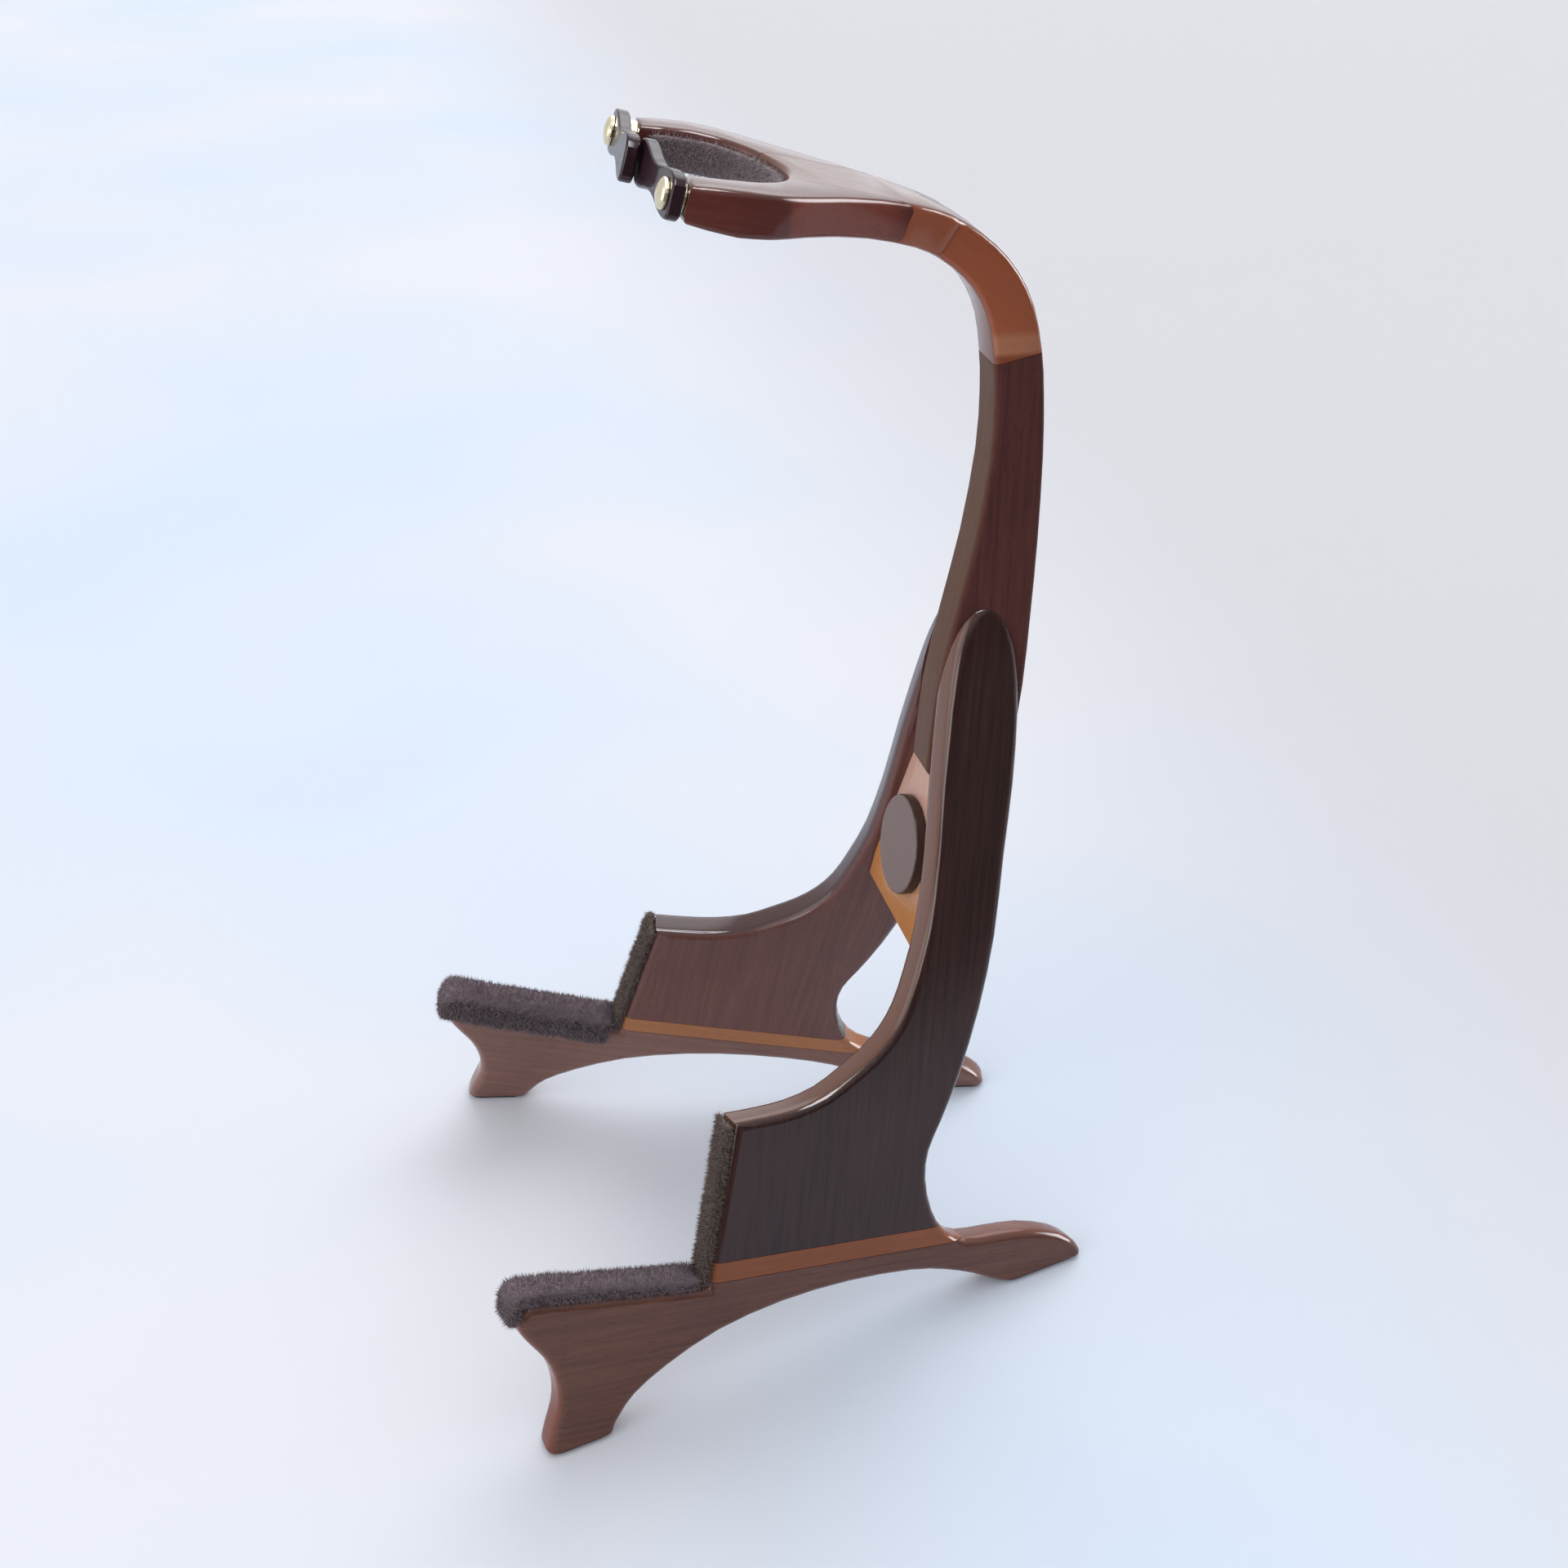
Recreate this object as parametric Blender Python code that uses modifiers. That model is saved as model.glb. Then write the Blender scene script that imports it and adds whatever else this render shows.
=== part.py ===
# Banjo stand: two laminated legs, a mast with a bent gooseneck and a fork for the neck,
# felt pads, and two swivel gates that close the mouth of the fork.
# Metres, +Z up. The front faces -Y, the right side is +X, and the floor is at Z = 0.

import math

import bmesh
import bpy
from mathutils import Matrix, Vector

MM = 0.001
UP = Vector((0, 0, 1))
FLIP_X = Matrix.Diagonal((-1, 1, 1, 1))
FLIP_Z = Matrix.Diagonal((1, 1, -1, 1))

# Far enough past everything for a saw cut, and the distance at which points are welded
REACH = 1.0
WELD = 0.00001
SMOOTH_ANGLE = math.radians(35)
SIDEWAYS = 0.9999

# Fits and edges shared by all the wooden pieces
GLUE_GAP = 0.3 * MM
LEG_ROUND_OVER = 5.0 * MM
FORK_ROUND_OVER = 3.0 * MM
EDGE_STEPS = 2

# Legs. U runs rearward and V upward in the outer face, W outward from it.
LEG_THICKNESS = 18.0 * MM
LEG_SPLAY = math.radians(12.2)
LEG_HALF_SPREAD = 132.5 * MM
LEG_TIP_COVER = 0.7 * MM
LEG_DATUM_Y = -50.44 * MM
STAND = Matrix.Translation((0, LEG_DATUM_Y, 0))

# Accent strip, measured down from its top edge above the leg's datum
STRIP_TOP = 78.0 * MM
STRIP_HEIGHT = 10.8 * MM
STRIP_SLOPE = math.radians(11.0)
STRIP_START = 8.0 * MM

# Square notch that holds the rim of the banjo: ledge below, leaning edge behind
NOTCH_U = -3.7 * MM
NOTCH_V = 64.5 * MM
NOTCH_TILT = math.radians(15.5)
LEDGE_LENGTH = 95.8 * MM
BACK_EDGE_LENGTH = 91.0 * MM

# Feet
FOOT_PAD_THICKNESS = 2.0 * MM
FOOT_PAD_WIDTH = 15.0 * MM
FOOT_PAD_CORNER = 5.0 * MM
FRONT_PAD_LENGTH = 31.0 * MM
REAR_PAD_LENGTH = 46.0 * MM
FRONT_PAD_U = -81.0 * MM
REAR_PAD_U = 196.0 * MM

# Felt on the ledge, turned down over its inner side and its front
LEDGE_FELT = 7.1 * MM
HANGING_FELT = 1.8 * MM
HANGING_FELT_DROP = 12.5 * MM
FRONT_FELT = 5.8 * MM
FRONT_FELT_DROP = 11.0 * MM
FELT_OVERHANG = 0.7 * MM
FELT_ROUNDING = 3.0 * MM

# Felt on the back edge, thicker along its outer side
BACK_FELT = 3.3 * MM
BACK_FELT_SLANT = math.radians(9.0)
BACK_FELT_FROM_TOP = 1.0 * MM
BACK_FELT_ROUNDING = 1.2 * MM
FELT_CORNER_GAP = 0.6 * MM

# Mast, gooseneck and fork. Y counts from the leg's datum.
MAST_WIDTH = 25.0 * MM
BLANK_THICKNESS = 20.0 * MM
FORK_HALF_WIDTH = 60.0 * MM
FORK_SLOT_HALF_WIDTH = 42.0 * MM
FORK_SLOT_STRAIGHT = 17.5 * MM
FORK_SLOT_DEPTH = 55.0 * MM
GOOSENECK_WIDTH = 44.0 * MM
GOOSENECK_LENGTH = 217.5 * MM
FORK_FELT = 3.5 * MM
FORK_FELT_FROM_TOP = 3.3 * MM
FORK_FELT_FROM_BOTTOM = 1.5 * MM
FORK_FELT_FROM_TIP = 5.0 * MM
FORK_FELT_ROUNDING = 0.9 * MM
SLOT_STEPS = 24

# Side view of mast and gooseneck, from the fork's tips to the foot of the mast:
# Y and Z of the upper or rear face, thickness, and tilt of the face's normal from upright.
SIDE_STATIONS = [
    (5.0, 604.0, 15.9, 14.6),
    (28.0, 600.6, 19.4, 12.5),
    (59.0, 593.6, 17.8, 12.5),
    (94.0, 585.2, 18.0, 16.0),
    (123.0, 576.0, 18.8, 25.0),
    (140.0, 567.2, 19.4, 35.0),
    (155.0, 556.0, 20.2, 46.0),
    (166.5, 543.0, 21.4, 58.0),
    (175.0, 527.0, 22.8, 69.0),
    (180.5, 506.0, 24.0, 79.0),
    (183.3, 484.0, 24.8, 84.0),
    (185.3, 453.0, 27.0, 88.0),
    (186.0, 410.0, 33.0, 90.0),
    (185.4, 370.0, 40.5, 90.0),
    (184.2, 330.0, 46.5, 90.0),
    (180.0, 284.5, 45.4, 90.0),
]

# Half of the fork's outline: how far it spreads, as a share of the half width at the tips,
# against the distance from the tips
FORK_FLARE = [(0, 1.0), (12, 1.025), (24, 1.037), (34, 1.012), (42, 0.965), (55, 0.84), (68, 0.70),
              (82, 0.57), (95, 0.465), (109, 0.375), (122, 0.30), (136, 0.24)]
FORK_FLARE_END = 156.0 * MM

# Spreader block between the legs, and the disc on its front
SPREADER_RIDGE_Y = 126.0 * MM
SPREADER_RIDGE_Z = 207.0 * MM
SPREADER_FACE_LEAN = math.radians(10.0)
SPREADER_CHAMFER_DROP = 16.0 * MM
SPREADER_CHAMFER_SETBACK = 1.5 * MM
SPREADER_DEPTH = 32.0 * MM
MEDALLION_RADIUS = 26.5 * MM
MEDALLION_THICKNESS = 6.0 * MM
MEDALLION_RISE = 29.0 * MM
MEDALLION_EDGE = 1.0 * MM

# Dowels
DOWEL_RADIUS = 3.0 * MM
MAST_DOWEL_RADIUS = 4.0 * MM
DOWEL_SIDES = 12
DOWEL_HALF_LENGTH = 14.0 * MM
ARM_DOWELS = (65.0 * MM, 82.0 * MM)
ARM_DOWEL_FROM = 15.0 * MM
ARM_DOWEL_TO = 29.0 * MM
LEG_DOWELS = ((160.0 * MM, 215.0 * MM), (168.0 * MM, 262.0 * MM))
LEG_DOWEL_DEPTH = 31.0 * MM
LEG_DOWEL_COVER = 5.0 * MM
MAST_DOWEL_Y = 163.0 * MM
MAST_DOWEL_Z = 340.0 * MM
MAST_DOWEL_COVER = 4.4 * MM
NECK_DOWEL_X = 5.5 * MM
MAST_FOOT_DOWELS = (-9.0 * MM, 7.0 * MM)

# Gates and their hardware
GATE_REACH = 58.0 * MM
GATE_THICKNESS = 6.0 * MM
GATE_ROUND_OVER = 1.2 * MM
GATE_PIVOT_X = 51.5 * MM
GATE_PIVOT_RISE = 1.0 * MM
LAP_CLEARANCE = 0.8 * MM
WASHER_THICKNESS = 1.0 * MM
LEFT_STANDOFF = 3.2 * MM
WASHER_RADIUS = 6.5 * MM
SHANK_RADIUS = 2.0 * MM
SHANK_LENGTH = 19.0 * MM
HEAD_RADIUS = 6.6 * MM
HEAD_HEIGHT = 3.4 * MM
HEAD_RIM = 0.8 * MM
DOME_STEPS = 5
PIVOT_CLEARANCE = 0.25 * MM
INSERT_RADIUS = 3.75 * MM
INSERT_LENGTH = 13.0 * MM
INSERT_SINK = 0.5 * MM
ROUND_SIDES = 24

# Upper edge of a gate in millimetres from its pivot: along the gate, and half of its height
GATE_PROFILE = [(-9, 6), (-5.5, 9), (2, 9.6), (10, 8.6), (18, 6.9), (26, 6.2), (34, 7), (42, 8.9),
                (49, 10), (54.5, 9.4), (58, 6)]

# Leg outline in millimetres of U and V. Each list is one smooth stretch.
LEG_FRONT_TO_TOE = [
    (38, 149.8), (55, 148.7), (72, 150.8), (87, 157), (101, 164), (112, 172.5), (121, 184), (129, 201),
    (138, 225.5), (145.5, 260), (151.9, 301), (158.7, 338.5), (163.5, 360), (168.5, 374.5),
    (175.5, 384.5), (183, 387.5), (190, 383.5), (196, 373.5), (199.5, 357), (199, 328), (194, 291),
    (186.5, 254), (178, 210), (166.5, 172), (152, 137.5), (139, 113.5), (130.5, 99), (127.2, 83),
    (129.4, 63), (136.5, 47), (149, 37.5), (167, 33.6), (188, 28.7), (208, 19.5), (219, 9.5), (222, 2),
    (221, -3),
]
LEG_ARCH = [
    (174, -3), (171, 1.5), (164, 5.5), (152, 13.5), (134.6, 22.5), (113, 30.2), (76, 37.4), (37, 40.1),
    (0, 37), (-30, 27.8), (-49, 18.3), (-58, 9.5), (-62, 4), (-64, -3),
]
LEG_HORN = [
    (-98.4, -3), (-98.2, 4), (-94.2, 15), (-90.4, 24), (-88.6, 34), (-89.2, 45), (-92.5, 56),
    (-98, 65.5), (-102.8, 74.5), (-103.9, 81.5), (-101.8, 87.3),
]


def clear_scene():
    for obj in list(bpy.data.objects):
        bpy.data.objects.remove(obj, do_unlink=True)


def new_collection(name):
    collection = bpy.data.collections.new(name)
    bpy.context.scene.collection.children.link(collection)
    return collection


def new_material(name, colour, roughness, metallic=0.0):
    material = bpy.data.materials.new(name)
    material.use_nodes = True
    shader = material.node_tree.nodes["Principled BSDF"]
    shader.inputs["Base Color"].default_value = (*colour, 1.0)
    shader.inputs["Roughness"].default_value = roughness
    shader.inputs["Metallic"].default_value = metallic
    return material


def new_piece(name, mesh, material, matrix):
    """A named sub-part in the stand's collection."""
    piece = bpy.data.objects.new(name, mesh)
    piece.matrix_world = matrix
    mesh.materials.clear()
    mesh.materials.append(material)
    parts.objects.link(piece)
    return piece


def baked_mesh(obj):
    """The object's mesh with its modifiers or curve settings applied, welded and facing outward."""
    bpy.context.view_layer.update()
    evaluated = obj.evaluated_get(bpy.context.evaluated_depsgraph_get())
    mesh = bpy.data.meshes.new_from_object(evaluated)
    bm = bmesh.new()
    bm.from_mesh(mesh)
    bmesh.ops.remove_doubles(bm, verts=bm.verts, dist=WELD)
    bmesh.ops.recalc_face_normals(bm, faces=bm.faces)
    bm.to_mesh(mesh)
    bm.free()
    return mesh


def baked(obj):
    """Bakes a helper object and removes it."""
    mesh = baked_mesh(obj)
    bpy.data.objects.remove(obj, do_unlink=True)
    return mesh


def smooth_run(points, steps=2):
    """A Catmull-Rom curve through the points, each a tuple of any length."""
    points = [Vector(point) for point in points]
    ends = [2 * points[0] - points[1]] + points + [2 * points[-1] - points[-2]]
    run = []
    for before, start, end, after in zip(ends, ends[1:], ends[2:], ends[3:]):
        for step in range(steps):
            t = step / steps
            run.append(0.5 * (2 * start + (end - before) * t
                              + (2 * before - 5 * start + 4 * end - after) * t ** 2
                              + (3 * start - before - 3 * end + after) * t ** 3))
    run.append(points[-1])
    return run


def outline_mesh(outline, thickness, rounding):
    """A flat outline made solid, centred on its own plane, with its edges rounded."""
    curve = bpy.data.curves.new("outline", "CURVE")
    curve.dimensions = "2D"
    curve.fill_mode = "BOTH"
    curve.extrude = thickness / 2 - rounding
    curve.bevel_depth = rounding
    curve.bevel_resolution = EDGE_STEPS
    curve.offset = -rounding
    spline = curve.splines.new("POLY")
    spline.points.add(len(outline) - 1)
    for point, (x, y) in zip(spline.points, outline):
        point.co = (x, y, 0, 1)
    spline.use_cyclic_u = True
    helper = bpy.data.objects.new("outline", curve)
    parts.objects.link(helper)
    return baked(helper)


def block_mesh(low, high, rounding=0.0):
    """A block between two corners, its edges rounded where asked."""
    low, high = Vector(low), Vector(high)
    mesh = bpy.data.meshes.new("block")
    bm = bmesh.new()
    bmesh.ops.create_cube(bm, matrix=Matrix.Translation((low + high) / 2) @ Matrix.Diagonal(high - low).to_4x4())
    if rounding:
        bmesh.ops.bevel(bm, geom=bm.edges[:], offset=rounding, segments=2, profile=0.5, affect="EDGES")
    bm.to_mesh(mesh)
    bm.free()
    return mesh


def rod_mesh(radius, low, high, sides=DOWEL_SIDES):
    """A round rod along Z."""
    mesh = bpy.data.meshes.new("rod")
    bm = bmesh.new()
    bmesh.ops.create_cone(bm, cap_ends=True, segments=sides, radius1=radius, radius2=radius,
                          depth=high - low, matrix=Matrix.Translation((0, 0, (low + high) / 2)))
    bm.to_mesh(mesh)
    bm.free()
    return mesh


def turned_mesh(profile, closed=False):
    """A profile of radius and height turned about Z. It runs down its outer side."""
    mesh = bpy.data.meshes.new("profile")
    bm = bmesh.new()
    verts = [bm.verts.new((radius, 0, height)) for radius, height in profile]
    for start, end in zip(verts, verts[1:]):
        bm.edges.new((start, end))
    if closed:
        bm.edges.new((verts[-1], verts[0]))
    bm.to_mesh(mesh)
    bm.free()
    helper = bpy.data.objects.new("profile", mesh)
    parts.objects.link(helper)
    screw = helper.modifiers.new("turn", "SCREW")
    screw.steps = screw.render_steps = ROUND_SIDES
    screw.use_merge_vertices = True
    screw.merge_threshold = WELD
    return baked(helper)


def tube_mesh(outer, inner, low, high):
    return turned_mesh([(outer, high), (outer, low), (inner, low), (inner, high)], closed=True)


def carve(piece, tools, operation="DIFFERENCE"):
    """Cuts the piece with meshes that are each given with their place."""
    for mesh, matrix in tools:
        tool = bpy.data.objects.new("tool", mesh)
        tool.matrix_world = matrix
        cutters.objects.link(tool)
        modifier = piece.modifiers.new("cut", "BOOLEAN")
        modifier.operation = operation
        modifier.object = tool
        mesh_now = baked_mesh(piece)
        piece.modifiers.clear()
        piece.data = mesh_now
        bpy.data.objects.remove(tool, do_unlink=True)
    return piece


def mirrored(piece, name):
    """The same piece on the other side. Its mesh is turned over so that it needs no scale."""
    mesh = piece.data.copy()
    mesh.transform(FLIP_Z)
    mesh.flip_normals()
    bpy.context.view_layer.update()
    matrix = FLIP_X @ piece.matrix_world @ FLIP_Z
    return new_piece(name, mesh, mesh.materials[0], matrix)


def frame_matrix(x_axis, y_axis, origin):
    """A right-handed frame from two of its axes and its origin."""
    x_axis, y_axis = Vector(x_axis), Vector(y_axis)
    matrix = Matrix((x_axis, y_axis, x_axis.cross(y_axis))).transposed().to_4x4()
    matrix.translation = Vector(origin)
    return matrix


def leg_lean():
    """The lean that brings the tip of the leg's outer face just outside the mast's side."""
    tip_u, tip_v = max(LEG_FRONT_TO_TOE, key=lambda point: point[1])
    inward = LEG_HALF_SPREAD - tip_u * MM * math.sin(LEG_SPLAY) - MAST_WIDTH / 2 - LEG_TIP_COVER
    return math.asin(inward / (tip_v * MM * math.cos(LEG_SPLAY)))


def leg_frame():
    """U, V and W of the right leg's outer face as X, Y and Z."""
    outward = Vector((math.cos(LEG_SPLAY), math.sin(LEG_SPLAY), 0))
    u_axis = Vector((-math.sin(LEG_SPLAY), math.cos(LEG_SPLAY), 0))
    v_axis = UP * math.cos(lean) - outward * math.sin(lean)
    return frame_matrix(u_axis, v_axis, (LEG_HALF_SPREAD, LEG_DATUM_Y, 0))


def leg_face_x(y, z):
    """How far from the middle the right leg's outer face lies at a place counted from the datum."""
    normal = leg.col[2].xyz
    return LEG_HALF_SPREAD - (y * normal.y + z * normal.z) / normal.x


def turned_in_face(u, v, angle):
    """A place in the leg's face, turned so that X points down by the angle."""
    return Matrix.Translation((u, v, 0)) @ Matrix.Rotation(-angle, 4, "Z")


def in_notch(forward, upward):
    """U and V of a place counted forward along the ledge and up along the back edge."""
    return (NOTCH_U - forward * math.cos(NOTCH_TILT) + upward * math.sin(NOTCH_TILT),
            NOTCH_V + forward * math.sin(NOTCH_TILT) + upward * math.cos(NOTCH_TILT))


def leg_outline():
    toe, arch, horn = [[(u * MM, v * MM) for u, v in stretch]
                       for stretch in (LEG_FRONT_TO_TOE, LEG_ARCH, LEG_HORN)]
    outline = [in_notch(0, 0)]
    for stretch in ([in_notch(0, BACK_EDGE_LENGTH)] + toe, arch, horn + [in_notch(LEDGE_LENGTH, 0)]):
        outline += [tuple(point) for point in smooth_run(stretch)]
    return outline


def ledge_reach():
    """How far the horn reaches forward of the notch, along the ledge."""
    return max((NOTCH_U - u) * math.cos(NOTCH_TILT) + (v - NOTCH_V) * math.sin(NOTCH_TILT)
               for u, v in leg_outline() if v > STRIP_TOP - STRIP_HEIGHT and u < NOTCH_U)


def leg_boards(leg, strip):
    """Upper panel, accent strip and foot rail, cut out of one outline."""
    pieces = []
    bands = (("right_upper_panel", dark_wood, GLUE_GAP, REACH),
             ("right_accent_strip", strip_wood, -STRIP_HEIGHT, 0),
             ("right_foot_rail", rail_wood, -REACH, -STRIP_HEIGHT - GLUE_GAP))
    for name, wood, low, high in bands:
        board = outline_mesh(leg_outline(), LEG_THICKNESS, LEG_ROUND_OVER)
        board.transform(Matrix.Translation((0, 0, -LEG_THICKNESS / 2)))
        piece = new_piece(name, board, wood, leg)
        if name == "right_foot_rail":
            above = block_mesh((-STRIP_START, high, -REACH), (REACH, REACH, REACH))
            carve(piece, [(above, strip)])
        else:
            band = block_mesh((-STRIP_START, low, -REACH), (REACH, high, REACH))
            carve(piece, [(band, strip)], "INTERSECT")
        pieces.append(piece)
    panel, accent, rail = pieces
    mast_side = block_mesh((-REACH, -REACH, 0), (MAST_WIDTH / 2 + GLUE_GAP, REACH, 1))
    carve(panel, [(mast_side, Matrix.Identity(4))])
    floor = block_mesh((-REACH, -REACH, -REACH), (REACH, REACH, FOOT_PAD_THICKNESS + GLUE_GAP))
    carve(rail, [(floor, Matrix.Identity(4))])
    return panel, accent, rail


def foot_pads(leg):
    pads = []
    places = (("right_front_foot_pad", FRONT_PAD_U, FRONT_PAD_LENGTH),
              ("right_rear_foot_pad", REAR_PAD_U, REAR_PAD_LENGTH))
    middle = -LEG_THICKNESS / 2
    rise = (FOOT_PAD_THICKNESS - middle * math.sin(lean)) / math.cos(lean)
    for name, u, length in places:
        spot = leg @ Vector((u, rise, middle))
        spot.z = 0
        matrix = Matrix.Translation(spot) @ Matrix.Rotation(LEG_SPLAY, 4, "Z")
        mesh = block_mesh((-FOOT_PAD_WIDTH / 2, -length / 2, 0),
                          (FOOT_PAD_WIDTH / 2, length / 2, FOOT_PAD_THICKNESS))
        bm = bmesh.new()
        bm.from_mesh(mesh)
        upright = [edge for edge in bm.edges if abs(edge.verts[0].co.z - edge.verts[1].co.z) > MM]
        bmesh.ops.bevel(bm, geom=upright, offset=FOOT_PAD_CORNER, segments=4, profile=0.5, affect="EDGES")
        bm.to_mesh(mesh)
        bm.free()
        pads.append(new_piece(name, mesh, black_rubber, matrix))
    return pads


def back_felt_depth(w):
    """Thickness of the felt on the back edge at a W across the board."""
    return BACK_FELT + (w + LEG_THICKNESS / 2) * math.tan(BACK_FELT_SLANT)


def ledge_pad(notch):
    """Felt over the ledge, turned down at the inner side and over the front."""
    front = ledge_reach() + GLUE_GAP
    inner = -LEG_THICKNESS - GLUE_GAP
    rear = back_felt_depth(0) + GLUE_GAP + FELT_CORNER_GAP
    mesh = block_mesh((-front - FRONT_FELT, -HANGING_FELT_DROP, inner - HANGING_FELT),
                      (-rear, GLUE_GAP + LEDGE_FELT, FELT_OVERHANG), FELT_ROUNDING)
    piece = new_piece("right_ledge_pad", mesh, felt, notch)
    over_wood = block_mesh((-front, -REACH, inner), (REACH, GLUE_GAP, REACH))
    under_front = block_mesh((-REACH, -REACH, inner), (-front / 2, -FRONT_FELT_DROP, REACH))
    return carve(piece, [(over_wood, notch), (under_front, notch)])


def back_pad(notch):
    mesh = block_mesh((-BACK_FELT, FELT_CORNER_GAP, -LEG_THICKNESS),
                      (0, BACK_EDGE_LENGTH - BACK_FELT_FROM_TOP, 0), BACK_FELT_ROUNDING)
    for vert in mesh.vertices:
        vert.co.x *= back_felt_depth(vert.co.z) / BACK_FELT
    mesh.transform(Matrix.Translation((-GLUE_GAP, 0, 0)))
    return new_piece("right_back_pad", mesh, felt, notch)


def spine_samples():
    """Points along the gooseneck and mast: distance from the tips, place, normal and thickness."""
    samples = []
    length = 0.0
    previous = None
    for y, z, thickness, tilt in smooth_run(SIDE_STATIONS):
        place = Vector((0, y * MM, z * MM))
        if previous:
            length += (place - previous).length
        normal = Vector((0, math.sin(math.radians(tilt)), math.cos(math.radians(tilt))))
        samples.append((length, place, normal, thickness * MM))
        previous = place
    return samples


def on_spine(distance):
    """Place of the upper face, normal and thickness at a distance from the tips."""
    for start, end in zip(spine, spine[1:]):
        if distance <= end[0] or end is spine[-1]:
            t = (distance - start[0]) / (end[0] - start[0])
            return (start[1].lerp(end[1], t), start[2].lerp(end[2], t).normalized(),
                    start[3] + (end[3] - start[3]) * t)


def middle_frame(distance, depth_from_middle=0.0):
    """A frame inside the bent wood: X to the right, Y along the spine, Z out of the upper face."""
    place, normal, thickness = on_spine(distance)
    middle = place - normal * (thickness / 2 + depth_from_middle)
    return STAND @ frame_matrix((1, 0, 0), normal.cross(Vector((1, 0, 0))), middle)


def bent(mesh, blank_thickness, top_inset=0.0, bottom_inset=0.0):
    """Lays a flat blank along the spine: its X stays, its Y runs along and its Z becomes depth."""
    bm = bmesh.new()
    bm.from_mesh(mesh)
    for distance, _, _, _ in spine[1:-1]:
        bmesh.ops.bisect_plane(bm, geom=bm.verts[:] + bm.edges[:] + bm.faces[:], dist=WELD,
                               plane_co=(0, distance, 0), plane_no=(0, 1, 0))
    for vert in bm.verts:
        place, normal, thickness = on_spine(vert.co.y)
        if vert.co.z > 0:
            depth = top_inset + blank_thickness / 2 - vert.co.z
        else:
            depth = thickness - bottom_inset - blank_thickness / 2 - vert.co.z
        vert.co = Vector((vert.co.x, 0, 0)) + place - normal * depth
    bm.normal_update()
    warped = [face for face in bm.faces if abs(face.normal.x) < SIDEWAYS]
    bmesh.ops.triangulate(bm, faces=warped)
    bm.to_mesh(mesh)
    bm.free()
    return mesh


def slot_outline(inset):
    """The fork's mouth from its right tip round to its left tip."""
    half_width = FORK_SLOT_HALF_WIDTH - inset
    depth = FORK_SLOT_DEPTH - FORK_SLOT_STRAIGHT - inset
    points = []
    for step in range(SLOT_STEPS + 1):
        angle = math.pi * step / SLOT_STEPS
        points.append((half_width * math.cos(angle), FORK_SLOT_STRAIGHT + depth * math.sin(angle)))
    return points


def fork_outline():
    """Plan of the flat blank: the mouth, the flared arms and the long straight mast."""
    length = spine[-1][0]
    flare = [(FORK_HALF_WIDTH * share, distance * MM) for distance, share in FORK_FLARE]
    straight = [(MAST_WIDTH / 2, FORK_FLARE_END), (MAST_WIDTH / 2, 2 * FORK_FLARE_END)]
    right = [tuple(point) for point in smooth_run(flare + straight)][:-2] + [(MAST_WIDTH / 2, length)]
    left = [(-x, y) for x, y in reversed(right)]
    mouth = [(-FORK_SLOT_HALF_WIDTH, 0)] + slot_outline(0)[::-1] + [(FORK_SLOT_HALF_WIDTH, 0)]
    return right + left + mouth


def fork_and_mast():
    """Mast post, gooseneck and the two arms, sawn from one blank and then bent."""
    butt = GOOSENECK_LENGTH
    side = GOOSENECK_WIDTH / 2
    half_gap = GLUE_GAP / 2
    boxes = (("mast_post", mast_wood, (-REACH, butt + half_gap), (REACH, REACH)),
             ("gooseneck", neck_wood, (-side + half_gap, -REACH), (side - half_gap, butt - half_gap)),
             ("right_yoke_arm", arm_wood, (side + half_gap, -REACH), (REACH, REACH)))
    pieces = []
    for name, wood, low, high in boxes:
        piece = new_piece(name, outline_mesh(fork_outline(), BLANK_THICKNESS, FORK_ROUND_OVER), wood, STAND)
        saw = block_mesh((*low, -REACH), (*high, REACH))
        carve(piece, [(saw, STAND)], "INTERSECT")
        bent(piece.data, BLANK_THICKNESS)
        pieces.append(piece)
    return pieces


def fork_felt():
    outer = slot_outline(GLUE_GAP)
    inner = slot_outline(GLUE_GAP + FORK_FELT)
    outline = ([(outer[0][0], FORK_FELT_FROM_TIP)] + outer + [(outer[-1][0], FORK_FELT_FROM_TIP)]
               + [(inner[-1][0], FORK_FELT_FROM_TIP)] + inner[::-1] + [(inner[0][0], FORK_FELT_FROM_TIP)])
    mesh = outline_mesh(outline, BLANK_THICKNESS, FORK_FELT_ROUNDING)
    bent(mesh, BLANK_THICKNESS, FORK_FELT_FROM_TOP, FORK_FELT_FROM_BOTTOM)
    return new_piece("yoke_felt", mesh, felt, STAND)


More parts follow.
